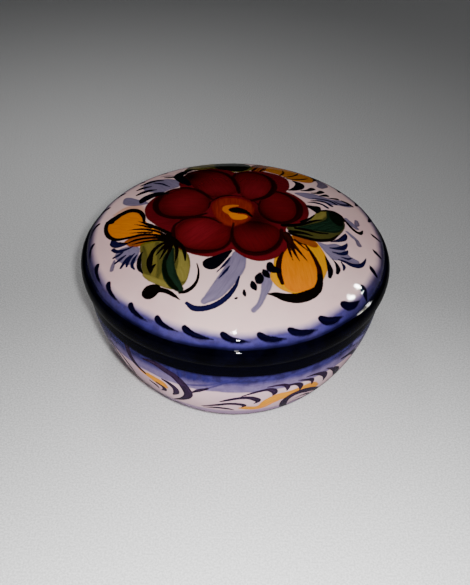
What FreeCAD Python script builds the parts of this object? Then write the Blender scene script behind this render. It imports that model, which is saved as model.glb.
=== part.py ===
import FreeCAD, Part
import math
import os

# A round lidded box of painted, glazed earthenware: a thrown bowl on a low foot
# ring, and a domed lid that rests on its rim and is located by a flange.
# Millimetres, +Z up. The origin is the middle of the foot ring's resting face.

# Base
base_height = 46.8
rim_radius = 55.6
rim_wall = 5.2
rim_rounding = 1.2
foot_radius = 36.3
foot_height = 2.0
foot_rounding = 1.0
foot_ring_width = 4.6
recess_depth = 2.4
recess_rounding = 1.2
floor_thickness = 5.6
floor_curve_inset = 8.3

# Lid
lid_overhang = 1.9
bead_undercut = 1.6
bead_low_rise = 4.1
bead_high_rise = 3.3
groove_depth = 2.2
shoulder_width = 2.9
shoulder_rise = 3.9
crown_rise = 10.8
crown_wall = 5.0
flange_depth = 5.0
flange_wall = 4.2
flange_rounding = 1.0
flange_root_rounding = 0.5
flange_inside_rise = 4.0
lid_clearance = 0.7

# How full the curved stretches are, as shares of the sizes that they span
bowl_low_out_share = 0.20
bowl_low_up_share = 0.02
bowl_high_up_share = 0.43
inside_low_out_share = 0.56
inside_low_up_share = 0.01
inside_high_up_share = 0.42
bead_low_out_share = 0.60
bead_low_up_share = 0.50
bead_high_up_share = 0.60
bead_top_out_share = 0.55
bead_top_up_share = 0.03
shoulder_low_out_share = 0.12
shoulder_low_up_share = 0.55
shoulder_top_share = 0.70
under_crown_share = 0.86
under_corner_share = 0.60


def point(radius, height):
    """A point of an outline, in the plane through the axis."""
    return FreeCAD.Vector(radius, 0, height)


def line(start, end):
    return Part.LineSegment(start, end).toShape()


def curve(*poles):
    """A smooth stretch that leaves and arrives along its outer poles."""
    bezier = Part.BezierCurve()
    bezier.setPoles(list(poles))
    return bezier.toShape()


def rounding(start, corner, end):
    """A quarter round between two points that lie either side of a square corner."""
    middle_share = 1 - math.sqrt(0.5)
    centre = start + end - corner
    middle = corner + (centre - corner) * middle_share
    return Part.Arc(start, middle, end).toShape()


def turned(edges):
    """The solid that an outline sweeps when it turns round the axis."""
    outline = Part.Wire(edges)
    solid = Part.Face(outline).revolve(FreeCAD.Vector(0, 0, 0), FreeCAD.Vector(0, 0, 1), 360)
    return Part.Solid(solid.Shells[0])


def make_base():
    """The bowl: foot ring, curved wall, flat rim, and the hollow inside."""
    mouth_radius = rim_radius - rim_wall
    ring_inner_radius = foot_radius - foot_ring_width
    floor_radius = foot_radius - floor_curve_inset
    floor_height = recess_depth + floor_thickness
    wall_reach = rim_radius - foot_radius
    wall_rise = base_height - foot_height
    inside_reach = mouth_radius - floor_radius
    inside_rise = base_height - floor_height

    axis_low = point(0, recess_depth)
    recess_edge = point(ring_inner_radius - recess_rounding, recess_depth)
    recess_corner = point(ring_inner_radius, recess_depth)
    recess_side = point(ring_inner_radius, recess_depth - recess_rounding)
    ring_in = point(ring_inner_radius, 0)
    ring_out = point(foot_radius - foot_rounding, 0)
    foot_corner = point(foot_radius, 0)
    foot_side = point(foot_radius, foot_rounding)
    foot_top = point(foot_radius, foot_height)
    wall_low = point(foot_radius + wall_reach * bowl_low_out_share,
                     foot_height + wall_rise * bowl_low_up_share)
    wall_high = point(rim_radius, foot_height + wall_rise * bowl_high_up_share)
    rim_side = point(rim_radius, base_height - rim_rounding)
    rim_corner = point(rim_radius, base_height)
    rim_out = point(rim_radius - rim_rounding, base_height)
    rim_in = point(mouth_radius + rim_rounding, base_height)
    mouth_corner = point(mouth_radius, base_height)
    mouth_side = point(mouth_radius, base_height - rim_rounding)
    inside_high = point(mouth_radius, floor_height + inside_rise * inside_high_up_share)
    inside_low = point(floor_radius + inside_reach * inside_low_out_share,
                       floor_height + inside_rise * inside_low_up_share)
    floor_edge = point(floor_radius, floor_height)
    axis_high = point(0, floor_height)

    return turned([
        line(axis_low, recess_edge),
        rounding(recess_edge, recess_corner, recess_side),
        line(recess_side, ring_in),
        line(ring_in, ring_out),
        rounding(ring_out, foot_corner, foot_side),
        line(foot_side, foot_top),
        curve(foot_top, wall_low, wall_high, rim_side),
        rounding(rim_side, rim_corner, rim_out),
        line(rim_out, rim_in),
        rounding(rim_in, mouth_corner, mouth_side),
        curve(mouth_side, inside_high, inside_low, floor_edge),
        line(floor_edge, axis_high),
        line(axis_high, axis_low),
    ])


def make_lid():
    """The lid, closed on the base: seat, rounded bead, groove, dome and flange."""
    flange_outer_radius = rim_radius - rim_wall - lid_clearance
    flange_inner_radius = flange_outer_radius - flange_wall
    flange_low = base_height - flange_depth
    lid_radius = rim_radius + lid_overhang
    seat_outer_radius = lid_radius - bead_undercut
    groove_radius = lid_radius - groove_depth
    shoulder_radius = groove_radius - shoulder_width
    bead_middle_at = base_height + bead_low_rise
    groove_at = bead_middle_at + bead_high_rise
    shoulder_at = groove_at + shoulder_rise
    lid_top = shoulder_at + crown_rise

    # The dome is a cap of a sphere whose middle lies on the axis
    crown_radius = (shoulder_radius ** 2 + crown_rise ** 2) / (2 * crown_rise)
    crown_middle = lid_top - crown_radius
    cap_half_angle = math.asin(shoulder_radius / crown_radius) / 2
    cap_middle = point(crown_radius * math.sin(cap_half_angle),
                       crown_middle + crown_radius * math.cos(cap_half_angle))
    apex = point(0, lid_top)
    shoulder = point(shoulder_radius, shoulder_at)

    # The shoulder leaves the dome along its slope and drops into the groove
    cap_slope = shoulder_radius / (shoulder_at - crown_middle)
    shoulder_out = shoulder_width * shoulder_top_share
    shoulder_pole = point(shoulder_radius + shoulder_out, shoulder_at - shoulder_out * cap_slope)
    groove_pole = point(groove_radius - shoulder_width * shoulder_low_out_share,
                        groove_at + shoulder_rise * shoulder_low_up_share)
    groove = point(groove_radius, groove_at)

    bead_top_pole = point(groove_radius + groove_depth * bead_top_out_share,
                          groove_at + bead_high_rise * bead_top_up_share)
    bead_high_pole = point(lid_radius, bead_middle_at + bead_high_rise * bead_high_up_share)
    bead_middle = point(lid_radius, bead_middle_at)
    bead_side_pole = point(lid_radius, base_height + bead_low_rise * bead_low_up_share)
    bead_low_pole = point(seat_outer_radius + bead_undercut * bead_low_out_share, base_height)
    seat_out = point(seat_outer_radius, base_height)

    seat_in = point(flange_outer_radius + flange_root_rounding, base_height)
    root_corner = point(flange_outer_radius, base_height)
    root_side = point(flange_outer_radius, base_height - flange_root_rounding)
    flange_out_side = point(flange_outer_radius, flange_low + flange_rounding)
    flange_out_corner = point(flange_outer_radius, flange_low)
    flange_out = point(flange_outer_radius - flange_rounding, flange_low)
    flange_in = point(flange_inner_radius + flange_rounding, flange_low)
    flange_in_corner = point(flange_inner_radius, flange_low)
    flange_in_side = point(flange_inner_radius, flange_low + flange_rounding)
    flange_top = point(flange_inner_radius, base_height + flange_inside_rise)

    # The hollow under the dome runs one wall's thickness inside it
    under_radius = crown_radius - crown_wall
    under_edge_radius = flange_inner_radius * under_crown_share
    under_edge_at = crown_middle + math.sqrt(under_radius ** 2 - under_edge_radius ** 2)
    under_slope = under_edge_radius / (under_edge_at - crown_middle)
    under_reach = (flange_inner_radius - under_edge_radius) * under_corner_share
    under_edge = point(under_edge_radius, under_edge_at)
    under_pole = point(under_edge_radius + under_reach, under_edge_at - under_reach * under_slope)
    under_side_pole = point(flange_inner_radius,
                            flange_top.z + (under_edge_at - flange_top.z) * under_corner_share)
    under_half_angle = math.asin(under_edge_radius / under_radius) / 2
    under_middle = point(under_radius * math.sin(under_half_angle),
                         crown_middle + under_radius * math.cos(under_half_angle))
    under_apex = point(0, lid_top - crown_wall)

    return turned([
        Part.Arc(apex, cap_middle, shoulder).toShape(),
        curve(shoulder, shoulder_pole, groove_pole, groove),
        curve(groove, bead_top_pole, bead_high_pole, bead_middle),
        curve(bead_middle, bead_side_pole, bead_low_pole, seat_out),
        line(seat_out, seat_in),
        rounding(seat_in, root_corner, root_side),
        line(root_side, flange_out_side),
        rounding(flange_out_side, flange_out_corner, flange_out),
        line(flange_out, flange_in),
        rounding(flange_in, flange_in_corner, flange_in_side),
        line(flange_in_side, flange_top),
        curve(flange_top, under_side_pole, under_pole, under_edge),
        Part.Arc(under_edge, under_middle, under_apex).toShape(),
        line(under_apex, apex),
    ])


os.makedirs("parts", exist_ok=True)
for name, solid in {"base": make_base(), "lid": make_lid()}.items():
    box = solid.BoundBox
    print(name, "valid", solid.isValid(), "volume cm3", round(solid.Volume / 1000, 2),
          "z", round(box.ZMin, 3), round(box.ZMax, 3), "width", round(box.XLength, 3))
    solid.exportStep("parts/" + name + ".step")
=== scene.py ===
import math

import bpy
import numpy as np
from mathutils import Matrix, Vector


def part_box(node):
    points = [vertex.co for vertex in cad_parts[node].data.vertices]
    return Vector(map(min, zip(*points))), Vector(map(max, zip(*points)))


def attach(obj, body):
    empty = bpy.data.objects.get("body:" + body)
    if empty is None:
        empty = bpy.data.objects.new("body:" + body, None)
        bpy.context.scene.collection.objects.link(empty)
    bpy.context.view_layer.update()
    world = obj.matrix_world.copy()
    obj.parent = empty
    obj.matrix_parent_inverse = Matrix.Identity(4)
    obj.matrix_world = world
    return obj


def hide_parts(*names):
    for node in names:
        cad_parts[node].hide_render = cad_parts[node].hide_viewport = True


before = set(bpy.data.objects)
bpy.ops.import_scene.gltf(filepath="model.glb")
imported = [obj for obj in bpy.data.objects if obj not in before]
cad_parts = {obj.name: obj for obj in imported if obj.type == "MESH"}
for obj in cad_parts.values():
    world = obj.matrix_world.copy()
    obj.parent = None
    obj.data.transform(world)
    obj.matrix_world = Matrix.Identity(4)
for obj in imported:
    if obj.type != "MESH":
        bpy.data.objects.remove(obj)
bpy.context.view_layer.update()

# Sizes below are in millimetres, in the frame of the CAD model, and MM turns them into metres
MM = 0.001
base_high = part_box("base")[1]
lid_low, lid_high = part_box("lid")
base_height = base_high.z / MM
rim_radius = base_high.x / MM
lid_radius = lid_high.x / MM
lid_top = lid_high.z / MM
flange_low = lid_low.z / MM

# Base
rim_wall = 5.2
rim_rounding = 1.2
foot_radius = 36.3
foot_height = 2.0
foot_rounding = 1.0
foot_ring_width = 4.6
recess_depth = 2.4
recess_rounding = 1.2
floor_height = 8.0
floor_radius = 28.0

# Lid
bead_undercut = 1.6
bead_low_rise = 4.1
bead_high_rise = 3.3
groove_depth = 2.2
shoulder_width = 2.9
shoulder_rise = 3.9
crown_wall = 5.0
flange_wall = 4.2
flange_rounding = 1.0
flange_root_rounding = 0.5
flange_inside_rise = 4.0
lid_clearance = 0.7

# How full the curved stretches are, as shares of the sizes that they span
bowl_low_out_share = 0.20
bowl_low_up_share = 0.02
bowl_high_up_share = 0.43
inside_low_out_share = 0.56
inside_low_up_share = 0.01
inside_high_up_share = 0.42
bead_low_out_share = 0.60
bead_low_up_share = 0.50
bead_high_up_share = 0.60
bead_top_out_share = 0.55
bead_top_up_share = 0.03
shoulder_low_out_share = 0.12
shoulder_low_up_share = 0.55
shoulder_top_share = 0.70
under_crown_share = 0.86
under_corner_share = 0.60

# Sizes of the lid that follow
seat_outer_radius = lid_radius - bead_undercut
groove_radius = lid_radius - groove_depth
shoulder_radius = groove_radius - shoulder_width
bead_middle = base_height + bead_low_rise
groove_height = bead_middle + bead_high_rise
shoulder_height = groove_height + shoulder_rise
crown_rise = lid_top - shoulder_height
crown_radius = (shoulder_radius ** 2 + crown_rise ** 2) / (2 * crown_rise)
crown_centre = lid_top - crown_radius
flange_outer = rim_radius - rim_wall - lid_clearance
flange_inner = flange_outer - flange_wall

# Points of a curved stretch, steps along the outlines, and vertices in the rings of the two meshes
curve_points = 65
rounding_points = 17
cap_points = 161
painted_step = 0.42
wall_step = 0.5
plain_step = 0.9
wall_vertices = 700
plain_vertices = 234
plain_vertices_per_mm = 5
pole_radius = 0.3


# Outlines of the two turned pieces, as lists of (radius, height)
def bezier(p0, p1, p2, p3):
    t = np.linspace(0, 1, curve_points)[:, None]
    poles = [np.array(p, float) for p in (p0, p1, p2, p3)]
    return ((1 - t) ** 3 * poles[0] + 3 * (1 - t) ** 2 * t * poles[1]
            + 3 * (1 - t) * t * t * poles[2] + t ** 3 * poles[3])


def quarter(start, corner, end):
    """A quarter round between two points that lie either side of a square corner."""
    start, corner, end = (np.array(p, float) for p in (start, corner, end))
    centre = start + end - corner
    turn = np.linspace(0, math.pi / 2, rounding_points)[:, None]
    return centre + (start - centre) * np.cos(turn) + (end - centre) * np.sin(turn)


def straight(start, end):
    return np.array([start, end], float)


def cap(radius, edge):
    """The arc of a sphere round the crown's centre, from the axis out to edge."""
    turn = np.linspace(0, math.asin(edge / radius), cap_points)
    return np.stack([radius * np.sin(turn), crown_centre + radius * np.cos(turn)], -1)


def joined(*stretches):
    """One outline from stretches that meet end to end."""
    points = [stretches[0]]
    for stretch in stretches[1:]:
        points.append(stretch[1:])
    return np.concatenate(points)


def resampled(outline, step):
    """The outline at even steps along its length."""
    length = np.concatenate([[0], np.cumsum(np.hypot(*np.diff(outline, axis=0).T))])
    count = max(2, int(round(length[-1] / step)) + 1)
    at = np.linspace(0, length[-1], count)
    return np.stack([np.interp(at, length, outline[:, 0]), np.interp(at, length, outline[:, 1])], -1)


def lid_outside():
    """The dome and its shoulder, from the axis out to the groove."""
    slope = shoulder_radius / (shoulder_height - crown_centre)
    out = shoulder_width * shoulder_top_share
    return joined(
        cap(crown_radius, shoulder_radius),
        bezier((shoulder_radius, shoulder_height),
               (shoulder_radius + out, shoulder_height - out * slope),
               (groove_radius - shoulder_width * shoulder_low_out_share,
                groove_height + shoulder_rise * shoulder_low_up_share),
               (groove_radius, groove_height)))


def lid_bead():
    """The rounded bead, from the groove down to the seat's outer edge."""
    middle = (lid_radius, bead_middle)
    return joined(
        bezier((groove_radius, groove_height),
               (groove_radius + groove_depth * bead_top_out_share,
                groove_height + bead_high_rise * bead_top_up_share),
               (lid_radius, bead_middle + bead_high_rise * bead_high_up_share), middle),
        bezier(middle, (lid_radius, base_height + bead_low_rise * bead_low_up_share),
               (seat_outer_radius + bead_undercut * bead_low_out_share, base_height),
               (seat_outer_radius, base_height)))


def lid_underside():
    """From the seat's outer edge, round the flange and up to the middle of the hollow."""
    under_radius = crown_radius - crown_wall
    edge_radius = flange_inner * under_crown_share
    edge_height = crown_centre + math.sqrt(under_radius ** 2 - edge_radius ** 2)
    slope = edge_radius / (edge_height - crown_centre)
    reach = (flange_inner - edge_radius) * under_corner_share
    seat_in = (flange_outer + flange_root_rounding, base_height)
    root_side = (flange_outer, base_height - flange_root_rounding)
    out_side = (flange_outer, flange_low + flange_rounding)
    out_low = (flange_outer - flange_rounding, flange_low)
    in_low = (flange_inner + flange_rounding, flange_low)
    in_side = (flange_inner, flange_low + flange_rounding)
    wall_top = base_height + flange_inside_rise
    return joined(
        straight((seat_outer_radius, base_height), seat_in),
        quarter(seat_in, (flange_outer, base_height), root_side),
        straight(root_side, out_side),
        quarter(out_side, (flange_outer, flange_low), out_low),
        straight(out_low, in_low),
        quarter(in_low, (flange_inner, flange_low), in_side),
        straight(in_side, (flange_inner, wall_top)),
        bezier((flange_inner, wall_top),
               (flange_inner, wall_top + (edge_height - wall_top) * under_corner_share),
               (edge_radius + reach, edge_height - reach * slope), (edge_radius, edge_height)),
        cap(under_radius, edge_radius)[::-1])


def base_outside():
    """From the rim's outer edge down to the foot ring's resting face."""
    reach = rim_radius - foot_radius
    rise = base_height - foot_height
    rim_side = (rim_radius, base_height - rim_rounding)
    foot_top = (foot_radius, foot_height)
    foot_side = (foot_radius, foot_rounding)
    return joined(
        quarter((rim_radius - rim_rounding, base_height), (rim_radius, base_height), rim_side),
        bezier(rim_side, (rim_radius, foot_height + rise * bowl_high_up_share),
               (foot_radius + reach * bowl_low_out_share, foot_height + rise * bowl_low_up_share),
               foot_top),
        straight(foot_top, foot_side),
        quarter(foot_side, (foot_radius, 0), (foot_radius - foot_rounding, 0)))


def base_underside():
    """From the foot ring's resting face in to the middle of the recess."""
    ring = foot_radius - foot_ring_width
    ring_side = (ring, recess_depth - recess_rounding)
    recess_edge = (ring - recess_rounding, recess_depth)
    return joined(
        straight((foot_radius - foot_rounding, 0), (ring, 0)),
        straight((ring, 0), ring_side),
        quarter(ring_side, (ring, recess_depth), recess_edge),
        straight(recess_edge, (0, recess_depth)))


def base_inside():
    """From the axis on the floor out and up to the rim's flat top."""
    mouth = rim_radius - rim_wall
    reach = mouth - floor_radius
    rise = base_height - floor_height
    mouth_side = (mouth, base_height - rim_rounding)
    rim_in = (mouth + rim_rounding, base_height)
    return joined(
        straight((0, floor_height), (floor_radius, floor_height)),
        bezier((floor_radius, floor_height),
               (floor_radius + reach * inside_low_out_share, floor_height + rise * inside_low_up_share),
               (mouth, floor_height + rise * inside_high_up_share), mouth_side),
        quarter(mouth_side, (mouth, base_height), rim_in),
        straight(rim_in, (rim_radius - rim_rounding, base_height)))


# Meshes
def zipped(a, count_a, b, count_b):
    """Triangles between two rings of vertices that start at a and b."""
    if count_a == 1:
        return [(a, b + j, b + (j + 1) % count_b) for j in range(count_b)]
    if count_b == 1:
        return [(a + (i + 1) % count_a, a + i, b) for i in range(count_a)]
    faces = []
    i = j = 0
    while i < count_a or j < count_b:
        if j == count_b or (i < count_a and (i + 1) * count_b <= (j + 1) * count_a):
            faces.append((a + (i + 1) % count_a, a + i % count_a, b + j % count_b))
            i += 1
        else:
            faces.append((a + i % count_a, b + j % count_b, b + (j + 1) % count_b))
            j += 1
    return faces


def turned_mesh(name, rows):
    """A closed mesh of rings, and its points in mm; rows are (radius, height, vertices in the ring)."""
    coordinates = []
    faces = []
    start = before = count_before = 0
    for index, (radius, height, count) in enumerate(rows):
        turn = np.arange(count) * (2 * math.pi / count)
        ring = np.stack([radius * np.cos(turn), radius * np.sin(turn), np.full(count, height)], -1)
        coordinates.append(ring)
        if index:
            faces += zipped(before, count_before, start, count)
        before, count_before = start, count
        start += count
    mesh = bpy.data.meshes.new(name)
    mesh.from_pydata((np.concatenate(coordinates) * MM).tolist(), [], faces)
    mesh.shade_smooth()
    mesh.validate()
    return bpy.data.objects.new(name, mesh), np.concatenate(coordinates)


def rings(outline, count):
    return [(r, z, count) for r, z in outline]


def plain_rings(outline, most):
    """Rings with fewer vertices towards the axis, where a single one closes the mesh."""
    return [(r, z, min(most, int(r * plain_vertices_per_mm))) if r > pole_radius else (0.0, z, 1)
            for r, z in outline]


def growing_rings(outline):
    """Rings of a disc, each with six vertices more than the one before."""
    return [(r, z, max(1, 6 * i)) for i, (r, z) in enumerate(outline)]


def lid_mesh():
    top = growing_rings(resampled(lid_outside(), painted_step))
    edge_count = top[-1][2]
    half_count = edge_count // 2
    bead = resampled(lid_bead(), painted_step)[1:]
    upper = [row for row in bead if row[1] > bead_middle]
    lower = [row for row in bead if row[1] <= bead_middle]
    under = resampled(lid_underside(), plain_step)[1:]
    return turned_mesh("painted_lid", top + rings(upper, edge_count) + rings(lower, half_count)
                       + plain_rings(under, half_count // 2))


def base_mesh():
    inside = resampled(base_inside(), plain_step)
    outside = resampled(base_outside(), wall_step)[1:]
    under = resampled(base_underside(), plain_step)[1:]
    return turned_mesh("painted_base", plain_rings(inside, plain_vertices) + rings(outside, wall_vertices)
                       + plain_rings(under, plain_vertices))


# The painter's hand: strokes and filled shapes become distances to the edge of the paint, in mm and
# below nothing inside it; no distance is above FAR
FAR = 3.0
# A length that counts as none
TINY = 1e-9
# The reach of a stroke's own brush marks past its paint, and how far two strokes' marks lie apart
GRAIN_REACH = 0.6
GRAIN_STEP = 17.3
GRAIN_LAYER = 3.1
# How much wider than the brush the fired inks run: a share of the width, and a margin
SPREAD = {"black": (1.35, 0.12), "navy_black": (1.35, 0.12), "navy": (1.12, 0.08), "brown": (1.1, 0.06),
          "fan": (1.05, 0.05), "green": (1.15, 0.05), "plum": (1.35, 0.12), "ochre": (1.6, 0.15)}


def smoothed(points, closed=False, steps=6):
    """A smooth path through given points; each point is (across, up, half width)."""
    p = np.array(points, float)
    if closed:
        p = np.concatenate([p[-1:], p, p[:2]])
    else:
        p = np.concatenate([2 * p[:1] - p[1:2], p, 2 * p[-1:] - p[-2:-1]])
        p[0, 2:] = p[1, 2:]
        p[-1, 2:] = p[-2, 2:]
    t = np.linspace(0, 1, steps, endpoint=False)[:, None]
    path = []
    for a, b, c, d in zip(p[:-3], p[1:-2], p[2:-1], p[3:]):
        path.append(0.5 * (2 * b + (c - a) * t + (2 * a - 5 * b + 4 * c - d) * t * t
                           + (3 * b - a - 3 * c + d) * t ** 3))
    if not closed:
        path.append(p[-2:-1])
    return np.concatenate(path)


class Sheet:
    """The painted side of one piece: flat coordinates of its vertices, and one distance per colour."""

    def __init__(self, flat, painted, way_round, across):
        self.flat = flat
        self.painted = painted
        self.inks = {}
        # Brush marks run round the piece wherever no stroke says otherwise
        self.grain = np.stack([way_round, across, np.zeros(len(flat))], -1)
        self.laid_count = 0

    def near(self, path, margin):
        """The painted vertices in the box round a path."""
        low = path[:, :2].min(0) - margin
        high = path[:, :2].max(0) + margin
        inside = ((self.flat > low) & (self.flat < high)).all(1)
        return np.nonzero(inside & self.painted)[0]

    def put(self, name, where, distance, along, across):
        """Keeps the nearest paint of an ink, and gives what it covers its own brush marks."""
        ink = self.inks.setdefault(name, np.full(len(self.flat), FAR))
        closer = distance < ink[where]
        ink[where[closer]] = distance[closer]
        covered = closer & (distance < GRAIN_REACH)
        self.laid_count += 1
        self.grain[where[covered]] = np.stack(
            [along[covered] + GRAIN_STEP * self.laid_count, across[covered],
             np.full(covered.sum(), GRAIN_LAYER * self.laid_count)], -1)

    def stroke(self, name, *points):
        """A brush stroke through (across, up, half width) points."""
        path = smoothed(points)
        share, margin = SPREAD.get(name, (1.0, 0.0))
        path[:, 2] = np.maximum(path[:, 2], 0.0) * share + margin
        where = self.near(path, path[:, 2].max() + FAR)
        if not len(where):
            return
        spot = self.flat[where]
        best = np.full(len(where), np.inf)
        along = np.zeros(len(where))
        across = np.zeros(len(where))
        run = 0.0
        for a, b in zip(path[:-1], path[1:]):
            step = b[:2] - a[:2]
            length = math.hypot(*step)
            if length < TINY:
                continue
            away = spot - a[:2]
            t = np.clip((away @ step) / length ** 2, 0, 1)
            gap = np.hypot(*(away - t[:, None] * step).T) - (a[2] + (b[2] - a[2]) * t)
            nearer = gap < best
            best[nearer] = gap[nearer]
            along[nearer] = run + t[nearer] * length
            across[nearer] = ((away[:, 0] * step[1] - away[:, 1] * step[0]) / length)[nearer]
            run += length
        self.put(name, where, best, along, across)

    def strokes(self, name, *paths):
        """Strokes of one colour, one after the other."""
        for path in paths:
            self.stroke(name, *path)

    def shape(self, name, points, lean=0.0):
        """A filled shape with a smooth edge; lean is the direction of its brush marks in degrees."""
        path = smoothed([(x, y, 0) for x, y in points], closed=True)[:, :2]
        where = self.near(path, FAR)
        if not len(where):
            return
        spot = self.flat[where]
        best = np.full(len(where), np.inf)
        inside = np.zeros(len(where), bool)
        for a, b in zip(path, np.roll(path, -1, 0)):
            step = b - a
            square = step @ step
            if square < TINY:
                continue
            away = spot - a
            t = np.clip((away @ step) / square, 0, 1)
            best = np.minimum(best, np.hypot(*(away - t[:, None] * step).T))
            crosses = (a[1] > spot[:, 1]) != (b[1] > spot[:, 1])
            if abs(step[1]) > TINY:
                inside ^= crosses & (spot[:, 0] < a[0] + step[0] * (spot[:, 1] - a[1]) / step[1])
        turn = math.radians(lean)
        middle = path.mean(0)
        along = (spot - middle) @ np.array([math.cos(turn), math.sin(turn)])
        across = (spot - middle) @ np.array([-math.sin(turn), math.cos(turn)])
        self.put(name, where, np.where(inside, -best, best), along, across)

    def glow(self, name, x, y, spread, strength):
        """A soft light or dark spot."""
        self.inks.setdefault(name, np.zeros(len(self.flat)))
        gap = ((self.flat - (x, y)) ** 2).sum(1)
        self.inks[name] += np.where(self.painted, strength * np.exp(-gap / (2 * spread ** 2)), 0)

    def store(self, mesh):
        """Writes the distances and the brush marks on the mesh, where its material reads them."""
        for name, distance in self.inks.items():
            mesh.attributes.new("ink_" + name, "FLOAT", "POINT").data.foreach_set(
                "value", distance.astype(np.float32))
        mesh.attributes.new("grain", "FLOAT_VECTOR", "POINT").data.foreach_set(
            "vector", self.grain.astype(np.float32).ravel())


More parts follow.
